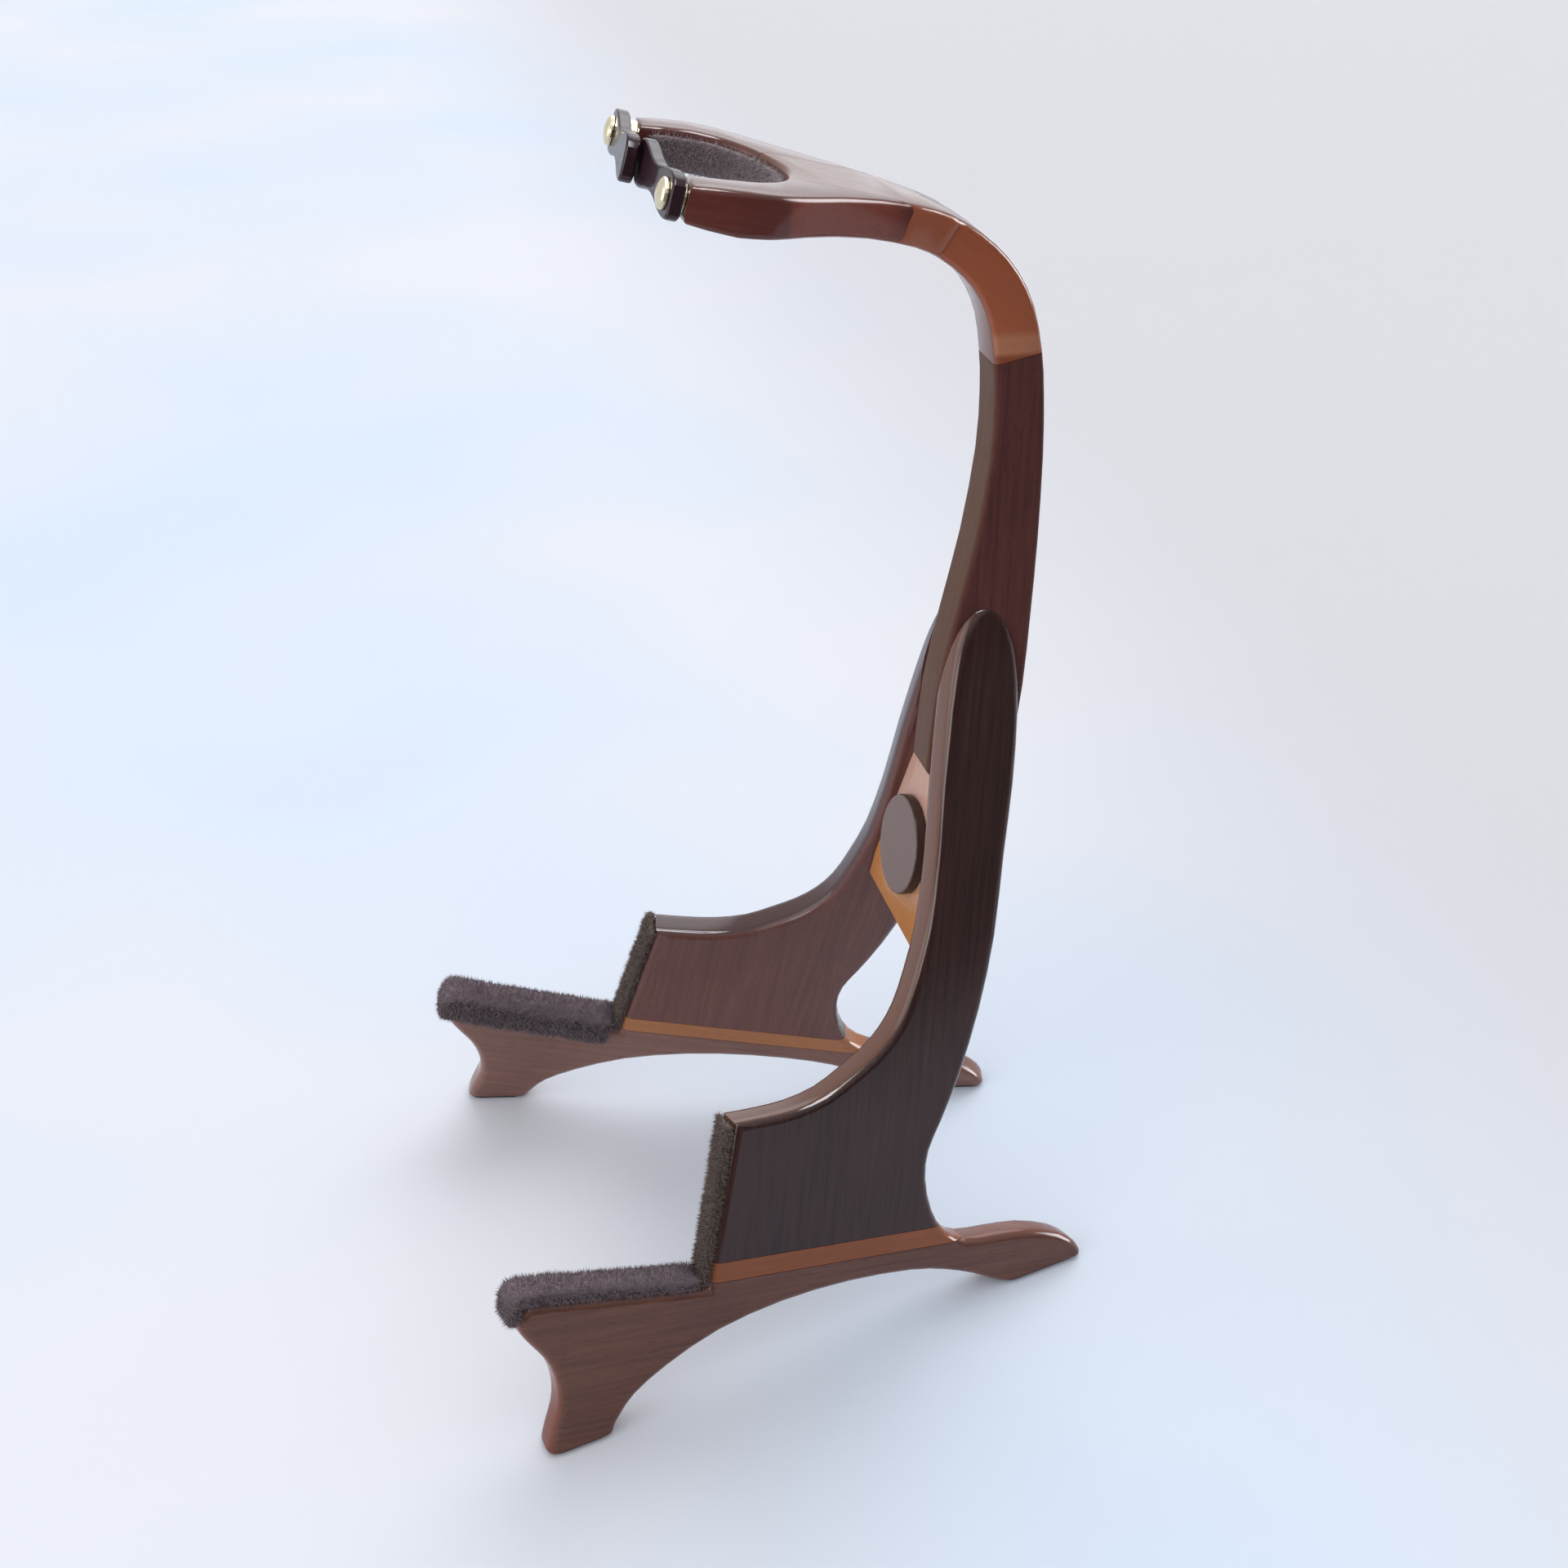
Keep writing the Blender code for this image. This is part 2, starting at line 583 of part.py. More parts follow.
def spreader(leg):
    """Block between the legs. Its front face leans back and has a steeper facet below the ridge."""
    ridge = Vector((SPREADER_RIDGE_Y, SPREADER_RIDGE_Z))
    top = on_spine(spine[-1][0])[0].z - GLUE_GAP
    lean = Vector((math.tan(SPREADER_FACE_LEAN), 1))
    front_top = ridge + lean * (top - SPREADER_RIDGE_Z)
    front_bottom = ridge - Vector((SPREADER_CHAMFER_SETBACK, SPREADER_CHAMFER_DROP))
    back = Vector((SPREADER_DEPTH, 0))
    outline = [front_bottom, ridge, front_top, front_top + back, front_bottom + back]
    mesh = outline_mesh([tuple(point) for point in outline], 2 * LEG_HALF_SPREAD, 0.0)
    across = STAND @ frame_matrix((0, 1, 0), (0, 0, 1), (0, 0, 0))
    piece = new_piece("spreader_block", mesh, spreader_wood, across)
    beyond = block_mesh((-REACH, -REACH, -LEG_THICKNESS - GLUE_GAP), (REACH, REACH, REACH))
    other = FLIP_X @ leg @ FLIP_Z
    beyond_left = beyond.copy()
    beyond_left.transform(FLIP_Z)
    beyond_left.flip_normals()
    return carve(piece, [(beyond, leg), (beyond_left, other)])


def medallion_frame():
    """On the spreader's front face, Z pointing forward out of it."""
    y = SPREADER_RIDGE_Y + MEDALLION_RISE * math.tan(SPREADER_FACE_LEAN)
    upward = Vector((0, math.sin(SPREADER_FACE_LEAN), math.cos(SPREADER_FACE_LEAN)))
    return STAND @ frame_matrix((1, 0, 0), upward, (0, y, SPREADER_RIDGE_Z + MEDALLION_RISE))


def medallion():
    edge = MEDALLION_EDGE
    profile = [(0, GLUE_GAP + MEDALLION_THICKNESS), (MEDALLION_RADIUS - edge, GLUE_GAP + MEDALLION_THICKNESS),
               (MEDALLION_RADIUS - edge / 3, GLUE_GAP + MEDALLION_THICKNESS - edge / 3),
               (MEDALLION_RADIUS, GLUE_GAP + MEDALLION_THICKNESS - edge),
               (MEDALLION_RADIUS, GLUE_GAP), (0, GLUE_GAP)]
    return new_piece("medallion", turned_mesh(profile), medallion_wood, medallion_frame())


def dowel_holes(pieces, radius, spans):
    """Bores each piece for dowels that are given as their frame, low end and high end."""
    for piece in pieces:
        tools = [(rod_mesh(radius + GLUE_GAP, low - GLUE_GAP, high + GLUE_GAP), matrix)
                 for matrix, low, high in spans]
        carve(piece, tools)


def mirrored_spans(spans):
    return [(FLIP_X @ matrix @ FLIP_Z, -high, -low) for matrix, low, high in spans]


def dowels(name, radius, spans):
    """One dowel for each span, numbered where there are several."""
    for number, (matrix, low, high) in enumerate(spans, 1):
        label = f"{name}_{number}" if len(spans) > 1 else name
        new_piece(label, rod_mesh(radius, low, high), dowel_wood, matrix)


def gate_outline():
    """Flat-ended bar with a narrow waist, from its heel to its free end."""
    upper = [tuple(point) for point in smooth_run(GATE_PROFILE)]
    lower = [(x, -y) for x, y in reversed(upper)]
    return [(x * MM, y * MM) for x, y in upper + lower]


def gate_frames():
    """Frames of the two pivots: X towards the other gate and Z forward, 0 on the arm's tip."""
    tip, up, thickness = on_spine(0)
    forward = Vector((1, 0, 0)).cross(up)
    centre = tip - up * (thickness / 2 - GATE_PIVOT_RISE)
    right = STAND @ frame_matrix((-1, 0, 0), -up, centre + Vector((GATE_PIVOT_X, 0, 0)))
    canted = Vector((math.cos(cant), 0, 0)) + forward * math.sin(cant)
    left = STAND @ frame_matrix(canted, up, centre - Vector((GATE_PIVOT_X, 0, 0)))
    return right, left


def gate(name, matrix, low):
    """A gate whose back is at the given height of its pivot frame."""
    mesh = outline_mesh(gate_outline(), GATE_THICKNESS, GATE_ROUND_OVER)
    mesh.transform(Matrix.Translation((0, 0, low + GATE_THICKNESS / 2)))
    piece = new_piece(name, mesh, gate_wood, matrix)
    bore = rod_mesh(SHANK_RADIUS + PIVOT_CLEARANCE, low - MM, low + GATE_THICKNESS + MM, ROUND_SIDES)
    return carve(piece, [(bore, matrix)])


def pivot_screw(name, matrix, seat):
    """Domed screw whose head sits at the given height and whose shank runs into the arm."""
    dome = []
    for step in range(DOME_STEPS + 1):
        angle = math.pi / 2 * (1 - step / DOME_STEPS)
        dome.append((HEAD_RADIUS * math.cos(angle), HEAD_RIM + (HEAD_HEIGHT - HEAD_RIM) * math.sin(angle)))
    profile = dome + [(HEAD_RADIUS, 0), (SHANK_RADIUS, 0), (SHANK_RADIUS, -SHANK_LENGTH), (0, -SHANK_LENGTH)]
    profile[0] = (0, HEAD_HEIGHT)
    return new_piece(name, turned_mesh(profile), brass, matrix @ Matrix.Translation((0, 0, seat)))


def tube_piece(name, matrix, outer, inner, low, high, material):
    return new_piece(name, tube_mesh(outer, inner, low, high), material, matrix)


def pivot(side, arm, frame, seat, gate_back):
    """Gate, screw, spacing ring and insert of one arm. Heights are forward of the arm's tip."""
    bore = SHANK_RADIUS + PIVOT_CLEARANCE
    mouth = seat - INSERT_SINK
    hole = rod_mesh(INSERT_RADIUS + GLUE_GAP, mouth - INSERT_LENGTH - GLUE_GAP, seat + MM, ROUND_SIDES)
    carve(arm, [(hole, frame)])
    gate(side + "_gate", frame, gate_back)
    pivot_screw(side + "_gate_screw", frame, gate_back + GATE_THICKNESS + GLUE_GAP)
    ring = "_gate_spacer" if side == "left" else "_gate_washer"
    tube_piece(side + ring, frame, WASHER_RADIUS, bore, seat + GLUE_GAP, gate_back - GLUE_GAP, brass)
    tube_piece(side + "_gate_insert", frame, INSERT_RADIUS, SHANK_RADIUS + GLUE_GAP,
               mouth - INSERT_LENGTH, mouth, brass)


def shade(piece):
    piece.data.shade_smooth()
    piece.data.set_sharp_from_angle(angle=SMOOTH_ANGLE)


def spun(matrix, axis):
    """The frame turned so that its Z follows the given axis of its own."""
    turn = {"X": Matrix.Rotation(math.pi / 2, 4, "Y"), "Y": Matrix.Rotation(-math.pi / 2, 4, "X")}
    return matrix @ turn[axis]


clear_scene()
parts = new_collection("banjo_stand")
cutters = new_collection("cutters")

dark_wood = new_material("dark_wood", (0.045, 0.022, 0.022), 0.25)
rail_wood = new_material("rail_wood", (0.10, 0.045, 0.040), 0.25)
strip_wood = new_material("strip_wood", (0.27, 0.10, 0.035), 0.25)
mast_wood = new_material("mast_wood", (0.06, 0.022, 0.020), 0.25)
neck_wood = new_material("neck_wood", (0.28, 0.08, 0.025), 0.25)
arm_wood = new_material("arm_wood", (0.075, 0.022, 0.020), 0.25)
spreader_wood = new_material("spreader_wood", (0.42, 0.16, 0.06), 0.25)
medallion_wood = new_material("medallion_wood", (0.16, 0.10, 0.07), 0.4)
gate_wood = new_material("gate_wood", (0.05, 0.022, 0.030), 0.2)
dowel_wood = new_material("dowel_wood", (0.55, 0.38, 0.22), 0.7)
felt = new_material("felt", (0.075, 0.055, 0.040), 0.95)
black_rubber = new_material("black_rubber", (0.02, 0.02, 0.02), 0.8)
brass = new_material("brass", (0.72, 0.56, 0.26), 0.3, 1.0)

spine = spine_samples()
right_stack = GLUE_GAP + WASHER_THICKNESS + GLUE_GAP
right_front = right_stack + GATE_THICKNESS
cant = math.atan((right_front + LAP_CLEARANCE - LEFT_STANDOFF) / (2 * GATE_PIVOT_X - GATE_REACH))
left_seat = -(GATE_PIVOT_X - FORK_SLOT_HALF_WIDTH) * math.sin(cant)

lean = leg_lean()
leg = leg_frame()
strip = leg @ turned_in_face(0, STRIP_TOP, STRIP_SLOPE)
notch = leg @ turned_in_face(NOTCH_U, NOTCH_V, NOTCH_TILT)

panel, accent, rail = leg_boards(leg, strip)
pads = foot_pads(leg)
soft = [ledge_pad(notch), back_pad(notch)]
mast, neck, right_arm = fork_and_mast()
fork_felt()
block = spreader(leg)
disc = medallion()

arm_spans = [(spun(middle_frame(distance), "X"), ARM_DOWEL_FROM, ARM_DOWEL_TO) for distance in ARM_DOWELS]
left_arm_spans = mirrored_spans(arm_spans)
dowel_holes([right_arm], DOWEL_RADIUS, arm_spans)
left_arm = mirrored(right_arm, "left_yoke_arm")
dowel_holes([neck], DOWEL_RADIUS, arm_spans + left_arm_spans)
dowels("right_arm_dowel", DOWEL_RADIUS, arm_spans)
dowels("left_arm_dowel", DOWEL_RADIUS, left_arm_spans)

leg_spans = [(leg @ Matrix.Translation((u, v, 0)), -LEG_DOWEL_DEPTH, -LEG_DOWEL_COVER)
             for u, v in LEG_DOWELS]
dowel_holes([panel], DOWEL_RADIUS, leg_spans)
left_leg_spans = mirrored_spans(leg_spans)
dowel_holes([block], DOWEL_RADIUS, leg_spans + left_leg_spans)
dowels("right_leg_dowel", DOWEL_RADIUS, leg_spans)
dowels("left_leg_dowel", DOWEL_RADIUS, left_leg_spans)

cross = STAND @ Matrix.Translation((0, MAST_DOWEL_Y, MAST_DOWEL_Z)) @ Matrix.Rotation(math.pi / 2, 4, "Y")
cross_half = leg_face_x(MAST_DOWEL_Y, MAST_DOWEL_Z) - MAST_DOWEL_COVER
cross_spans = [(cross, -cross_half, cross_half)]
dowel_holes([panel, mast], MAST_DOWEL_RADIUS, cross_spans)
dowels("mast_cross_dowel", MAST_DOWEL_RADIUS, cross_spans)

butt = middle_frame(GOOSENECK_LENGTH)
neck_spans = [(spun(butt, "Y") @ Matrix.Translation((x, 0, 0)), -DOWEL_HALF_LENGTH, DOWEL_HALF_LENGTH)
              for x in (-NECK_DOWEL_X, NECK_DOWEL_X)]
dowel_holes([mast, neck], DOWEL_RADIUS, neck_spans)
dowels("gooseneck_dowel", DOWEL_RADIUS, neck_spans)

foot = middle_frame(spine[-1][0]).translation
foot_spans = [(Matrix.Translation(foot + Vector((0, y, 0))), -DOWEL_HALF_LENGTH, DOWEL_HALF_LENGTH)
              for y in MAST_FOOT_DOWELS]
dowel_holes([mast, block], DOWEL_RADIUS, foot_spans)
dowels("mast_foot_dowel", DOWEL_RADIUS, foot_spans)

disc_spans = [(medallion_frame(), -DOWEL_HALF_LENGTH, MEDALLION_THICKNESS / 2)]
dowel_holes([disc, block], DOWEL_RADIUS, disc_spans)
dowels("medallion_dowel", DOWEL_RADIUS, disc_spans)

right_frame, left_frame = gate_frames()
tip_trim = block_mesh((-REACH, -REACH, left_seat), (REACH, REACH, REACH))
carve(left_arm, [(tip_trim, left_frame)])
pivot("right", right_arm, right_frame, 0, right_stack)
pivot("left", left_arm, left_frame, left_seat, LEFT_STANDOFF)

for piece in [panel, accent, rail] + pads + soft:
    mirrored(piece, piece.name.replace("right", "left"))
for piece in parts.objects:
    shade(piece)
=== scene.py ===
import math
import random

import bmesh
import bpy
from mathutils import Matrix, Vector, noise


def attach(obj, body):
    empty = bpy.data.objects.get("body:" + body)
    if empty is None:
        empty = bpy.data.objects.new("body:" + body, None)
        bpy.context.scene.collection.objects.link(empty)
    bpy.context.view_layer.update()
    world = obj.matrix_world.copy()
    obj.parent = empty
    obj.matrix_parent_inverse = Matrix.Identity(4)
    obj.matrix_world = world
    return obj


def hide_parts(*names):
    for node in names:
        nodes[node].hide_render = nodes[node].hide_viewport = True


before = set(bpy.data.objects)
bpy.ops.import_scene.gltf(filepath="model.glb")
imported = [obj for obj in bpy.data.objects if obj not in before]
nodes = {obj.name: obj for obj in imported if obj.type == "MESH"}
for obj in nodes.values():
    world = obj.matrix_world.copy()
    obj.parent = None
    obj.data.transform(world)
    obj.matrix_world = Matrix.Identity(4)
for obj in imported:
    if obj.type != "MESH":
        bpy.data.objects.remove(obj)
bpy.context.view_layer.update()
mm = 0.001
print("frame loaded:", len(nodes), "nodes")


def toLinear(hexColour):  # sRGB hex to the linear values that the shader takes
    channels = []
    for start in (1, 3, 5):
        value = int(hexColour[start:start + 2], 16) / 255
        channels.append(value / 12.92 if value <= 0.04045 else ((value + 0.055) / 1.055) ** 2.4)
    return (*channels, 1.0)


def addNode(tree, kind, inputs=None, **settings):  # a node with its settings, values and links
    node = tree.nodes.new("ShaderNode" + kind)
    for name, value in settings.items():
        setattr(node, name, value)
    for name, value in (inputs or {}).items():
        if isinstance(value, bpy.types.NodeSocket):
            tree.links.new(value, node.inputs[name])
        else:
            node.inputs[name].default_value = value
    return node


def newMaterial(name):  # an empty node material with its output
    material = bpy.data.materials.new(name)
    material.use_nodes = True
    tree = material.node_tree
    tree.nodes.clear()
    return material, tree, tree.nodes.new("ShaderNodeOutputMaterial")


def dress(names, material):  # CAD nodes keep their shape and get a better material
    for name in names:
        mesh = nodes[name].data
        mesh.materials.clear()
        mesh.materials.append(material)
        for face in mesh.polygons:
            face.material_index = 0


# Camera at the photograph's viewing angle
cameraPlace = {
    "position": (0.8564, -0.22302, 0.8205),
    "azimuth": 74.65,    # degrees from the front towards the right side
    "elevation": 31.18,
    "roll": 0.72,
    "lens": 46.875,      # mm on a 36 mm sensor
}


def makeCamera(place):
    azimuth, elevation, roll = (math.radians(place[key]) for key in ("azimuth", "elevation", "roll"))
    back = Vector((math.sin(azimuth) * math.cos(elevation), -math.cos(azimuth) * math.cos(elevation),
                   math.sin(elevation)))
    right = Vector((0, 0, 1)).cross(back).normalized()
    up = back.cross(right)
    data = bpy.data.cameras.new("photoCamera")
    data.lens = place["lens"]
    data.sensor_width = 36
    data.clip_start = 0.01
    camera = bpy.data.objects.new("photoCamera", data)
    camera.matrix_world = Matrix((right, up, back)).transposed().to_4x4() @ Matrix.Rotation(roll, 4, "Z")
    camera.location = place["position"]
    bpy.context.scene.collection.objects.link(camera)
    bpy.context.scene.camera = camera


makeCamera(cameraPlace)
print("camera placed")

# Floor and world
studio = {
    "floorCool": "#dce8f7",
    "floorWarm": "#ecedf2",
    "floorPlain": "#dbdadd",   # to the right of the stand, as the camera sees it
    "floorPaintedShade": "#7d7a79",     # painted shade: the sheet turns dim grey on the camera's side, standing in for the dim side of the room
    "floorAway": 4.4,        # metres of sheet behind the stand, as the camera sees it
    "floorNear": 2.4,        # metres of sheet on the camera's side
    "floorSide": 2.8,        # metres of sheet to the left and to the right
    "floorDrop": 0.0002,     # metres below the feet
    "plainFrom": 0.1,        # metres to the right at which the sheet starts to turn plain
    "plainTo": 0.7,
    "dimFrom": 0.4,          # metres towards the camera at which the sheet starts to fade into painted shade
    "dimTo": 0.72,
    "zenith": "#f3f5f9",
    "far": "#e9ecf2",        # the bright side of the room, behind the stand
    "near": "#6f6b6a",       # the dim side of the room, which the near faces mirror
    "patch": "#fafcff",      # the colour of the windows and glints
    "lightLevel": 0.77,      # how strongly the room lights the stand
}
windows = {   # bright patches that the camera doesn't see: direction, half width and soft edge in degrees
    "behind": {"towards": (-0.62, 0.35, 0.70), "spread": 22, "soft": 8, "bright": 2.6},
    "front": {"towards": (0.3, -0.93, 0.12), "spread": 30, "soft": 12, "bright": 2.0},
    "low": {"towards": (-0.94, 0.31, 0.14), "spread": 14, "soft": 8, "bright": 0.6},
}
glints = {   # brighter patches for glossy rays only: the highlights on lacquer and brass
    "above": {"towards": (0.21, 0.08, 0.97), "spread": 14, "soft": 4, "bright": 20},
    "rear": {"towards": (-0.05, 0.95, 0.22), "spread": 14, "soft": 5, "bright": 14},
    "front": {"towards": (0.66, -0.74, 0.06), "spread": 9, "soft": 5, "bright": 4},
}


def floorMaterial():  # white cotton sheet pulled flat: matt, with warm and cool patches and soft folds, and painted shade on the camera's side
    material, tree, output = newMaterial("whiteCottonSheet")
    coords = addNode(tree, "TexCoord").outputs["Object"]
    patches = addNode(tree, "TexNoise", {"Vector": coords, "Scale": 1.3, "Detail": 2.0})
    spread = addNode(tree, "MapRange", {"Value": patches.outputs["Fac"], "From Min": 0.35, "From Max": 0.65})
    colour = addNode(tree, "Mix", {"Factor": spread.outputs[0], 6: toLinear(studio["floorCool"]),
                                   7: toLinear(studio["floorWarm"])}, data_type="RGBA")
    place = addNode(tree, "SeparateXYZ", {"Vector": coords})
    rightward = addNode(tree, "MapRange", {"Value": place.outputs["Y"], "From Min": studio["plainFrom"],
                                           "From Max": studio["plainTo"]}, interpolation_type="SMOOTHSTEP")
    colour = addNode(tree, "Mix", {"Factor": rightward.outputs[0], 6: colour.outputs[2],
                                   7: toLinear(studio["floorPlain"])}, data_type="RGBA")
    # painted shade: the sheet darkens towards the camera
    nearer = addNode(tree, "MapRange", {"Value": place.outputs["X"], "From Min": studio["dimFrom"],
                                        "From Max": studio["dimTo"]}, interpolation_type="SMOOTHSTEP")
    faded = addNode(tree, "Mix", {"Factor": nearer.outputs[0], 6: colour.outputs[2],
                                  7: toLinear(studio["floorPaintedShade"])}, data_type="RGBA")
    folds = addNode(tree, "TexNoise", {"Vector": coords, "Scale": 5.0, "Detail": 3.0, "Roughness": 0.5})
    bump = addNode(tree, "Bump", {"Height": folds.outputs["Fac"], "Strength": 0.25, "Distance": 0.01})
    shader = addNode(tree, "BsdfPrincipled", {"Base Color": faded.outputs[2], "Roughness": 0.9,
                                              "Specular IOR Level": 0.1, "Normal": bump.outputs["Normal"]})
    tree.links.new(shader.outputs["BSDF"], output.inputs["Surface"])
    return material


def makeFloor():
    mesh = bpy.data.meshes.new("floorSheet")
    bm = bmesh.new()
    near, away, side = studio["floorNear"], -studio["floorAway"], studio["floorSide"]
    corners = ((away, -side, 0), (near, -side, 0), (near, side, 0), (away, side, 0))
    bm.faces.new([bm.verts.new(corner) for corner in corners])
    bm.to_mesh(mesh)
    bm.free()
    floor = bpy.data.objects.new("floorSheet", mesh)
    floor.location.z = -studio["floorDrop"]
    mesh.materials.append(floorMaterial())
    bpy.context.scene.collection.objects.link(floor)


def patchGlow(tree, direction, patch):  # how brightly a patch shines from one direction
    facing = addNode(tree, "VectorMath", {0: direction, 1: Vector(patch["towards"]).normalized()},
                     operation="DOT_PRODUCT")
    edge = math.cos(math.radians(patch["spread"] + patch["soft"]))
    core = math.cos(math.radians(patch["spread"] - patch["soft"]))
    glow = addNode(tree, "MapRange", {"Value": facing.outputs["Value"], "From Min": edge, "From Max": core,
                                      "To Max": patch["bright"]}, interpolation_type="SMOOTHSTEP")
    return glow.outputs[0]


def sumGlow(tree, direction, patches):  # several patches together
    total = 0.0
    for patch in patches.values():
        glow = patchGlow(tree, direction, patch)
        total = addNode(tree, "Math", {0: total, 1: glow}, operation="ADD").outputs[0]
    return total


def makeWorld():  # a room that is bright above and behind the stand, and dim on the camera's side
    world = bpy.data.worlds.new("studioWorld")
    world.use_nodes = True
    tree = world.node_tree
    tree.nodes.clear()
    direction = addNode(tree, "TexCoord").outputs["Generated"]
    place = addNode(tree, "SeparateXYZ", {"Vector": direction})
    nearness = addNode(tree, "MapRange", {"Value": place.outputs["X"], "From Min": -0.2, "From Max": 0.7},
                       interpolation_type="SMOOTHSTEP")
    height = addNode(tree, "MapRange", {"Value": place.outputs["Z"], "From Min": 0.1, "From Max": 0.7},
                     interpolation_type="SMOOTHSTEP")
    sides = addNode(tree, "Mix", {"Factor": nearness.outputs[0], 6: toLinear(studio["far"]),
                                  7: toLinear(studio["near"])}, data_type="RGBA")
    colour = addNode(tree, "Mix", {"Factor": height.outputs[0], 6: sides.outputs[2],
                                   7: toLinear(studio["zenith"])}, data_type="RGBA")
    rays = addNode(tree, "LightPath")
    direct = addNode(tree, "Math", {0: rays.outputs["Is Camera Ray"], 1: rays.outputs["Is Glossy Ray"]},
                     operation="MAXIMUM")
    seen = addNode(tree, "Math", {0: direct.outputs[0], 1: rays.outputs["Is Transmission Ray"]},
                   operation="MAXIMUM")
    level = addNode(tree, "MapRange", {"Value": seen.outputs[0], "To Min": studio["lightLevel"],
                                       "To Max": 1.0})
    room = addNode(tree, "Background", {"Color": colour.outputs[2], "Strength": level.outputs[0]})
    unseen = addNode(tree, "Math", {0: 1.0, 1: rays.outputs["Is Camera Ray"]}, operation="SUBTRACT")
    shine = addNode(tree, "Math", {0: sumGlow(tree, direction, windows), 1: unseen.outputs[0]},
                    operation="MULTIPLY")
    sparks = addNode(tree, "Math", {0: sumGlow(tree, direction, glints), 1: rays.outputs["Is Glossy Ray"],
                                    2: shine.outputs[0]}, operation="MULTIPLY_ADD")
    patches = addNode(tree, "Background", {"Color": toLinear(studio["patch"]), "Strength": sparks.outputs[0]})
    light = addNode(tree, "AddShader", {0: room.outputs[0], 1: patches.outputs[0]})
    output = tree.nodes.new("ShaderNodeOutputWorld")
    tree.links.new(light.outputs[0], output.inputs["Surface"])
    bpy.context.scene.world = world


makeFloor()
makeWorld()
bpy.context.scene.view_settings.view_transform = "Standard"
print("studio ready")

# The frame of a leg's board: across the face, up the face, and out of it
legTurn = {"splay": 12.2, "lean": 12.29, "strip": 11.0, "notch": 15.5}   # degrees


def legAxes(side):  # side is 1 for the right leg and -1 for the left leg
    splay, lean = math.radians(legTurn["splay"]), math.radians(legTurn["lean"])
    outward = Vector((math.cos(splay) * side, math.sin(splay), 0))
    rearward = Vector((-math.sin(splay) * side, math.cos(splay), 0))
    upward = Vector((0, 0, 1)) * math.cos(lean) - outward * math.sin(lean)
    return rearward, upward, rearward.cross(upward)


def grainFrame(along, flat):  # along the grain, and a direction in the board's face
    along = Vector(along).normalized()
    across = (Vector(flat) - along * Vector(flat).dot(along)).normalized()
    return Matrix((across, along.cross(across), along))


# Hardwoods under clear lacquer, with streaks and pores in millimetres. The tones are matched to the
# photograph's own light, so the two legs differ: both are one wood, with painted shade in the right
# leg's darker tones and painted light in the left leg's lighter ones. "edge" is the tone beside a
# board's two faces: painted light, painted shade and painted reflection on the edges.
woods = {
    "rightPanel": {"light": "#492a26", "dark": "#1c0f0f", "edge": "#6c493b", "streak": 2.5, "contrast": 0.9,
                   "poreShare": 0.3},
    "leftPanel": {"light": "#7c514a", "dark": "#553630", "edge": "#4a3231", "streak": 3.0, "contrast": 0.8,
                  "poreShare": 0.3},
    "rightRail": {"light": "#7a4d3e", "dark": "#4c2e25", "edge": "#743c2b", "streak": 2.5, "contrast": 0.8,
                  "poreShare": 0.5},
    "leftRail": {"light": "#936a5e", "dark": "#684840", "edge": "#7f574b", "streak": 2.5, "contrast": 0.8,
                 "poreShare": 0.4},
    "rightStrip": {"light": "#97542c", "dark": "#7b4120", "streak": 2.5, "contrast": 0.6, "poreShare": 0.3},
    "leftStrip": {"light": "#bb7a4e", "dark": "#98603a", "streak": 2.5, "contrast": 0.6, "poreShare": 0.25},
    "mast": {"light": "#693f3a", "dark": "#472a29", "edge": "#5a3c2a", "streak": 3.0, "contrast": 0.9,
             "poreShare": 0.4},
    "neck": {"light": "#d0906f", "dark": "#ad7354", "edge": "#744c3e", "streak": 4.0, "contrast": 0.6,
             "poreShare": 0.15},
    "arm": {"light": "#96493b", "dark": "#773428", "edge": "#6b453b", "streak": 4.0, "contrast": 0.7,
            "poreShare": 0.3},
    # the spreader's pale pink tone is painted reflection
    "spreader": {"light": "#cba291", "dark": "#b08776", "streak": 5.0, "contrast": 0.6, "poreShare": 0.15},
    "disc": {"light": "#7d6862", "dark": "#604c47", "edge": "#4b3833", "streak": 3.0, "contrast": 0.3,
             "poreShare": 0.15},
    "gate": {"light": "#3a212a", "dark": "#1f1018", "streak": 3.0, "contrast": 0.6, "poreShare": 0.3},
    "dowel": {"light": "#c79c69", "dark": "#a97c4b", "streak": 2.0, "contrast": 0.5, "poreShare": 0.3},
}
lacquer = {"clear": 0.7, "gate": 0.5, "dull": 0.3, "mast": 0.15, "bare": 0.0,   # coat weights
           "roughness": 0.07, "ior": 1.5}
pores = {"width": 0.35, "length": 4.0, "colour": 0.4}   # mm, drawn wider than real ones so that they show
figure = {"drift": 60.0, "fibre": 1.3, "stretch": 0.035}   # mm; the last draws streaks out along the grain
paintedEdgeRange = {"from": 0.85, "to": 0.35}   # cosines to the face, where the painted edge tone of light, shade and reflection starts and is full
# Painted glare and shade, as tints that multiply the wood along a piece: the spreader turns orange low down
# with painted shade, the arms carry painted glare, cooler and darker near their tips and greyer towards their
# inner ends, and the neck has a pale painted glare band.
spreaderPaintedLight = {"axis": "Z", "stops": [(212, "#e9c686"), (236, "#ffffff")]}
armPaintedGlare = {"axis": "Y", "stops": [(-5, "#c5d2e0"), (-2, "#ffffff"), (48, "#ffffff"), (62, "#a09a9c")]}
neckPaintedGlare = {"axis": "Z", "stops": [(504, "#b48f80"), (506.5, "#ece4df"), (513, "#ece4df"),
                                     (517, "#deb5a6")]}


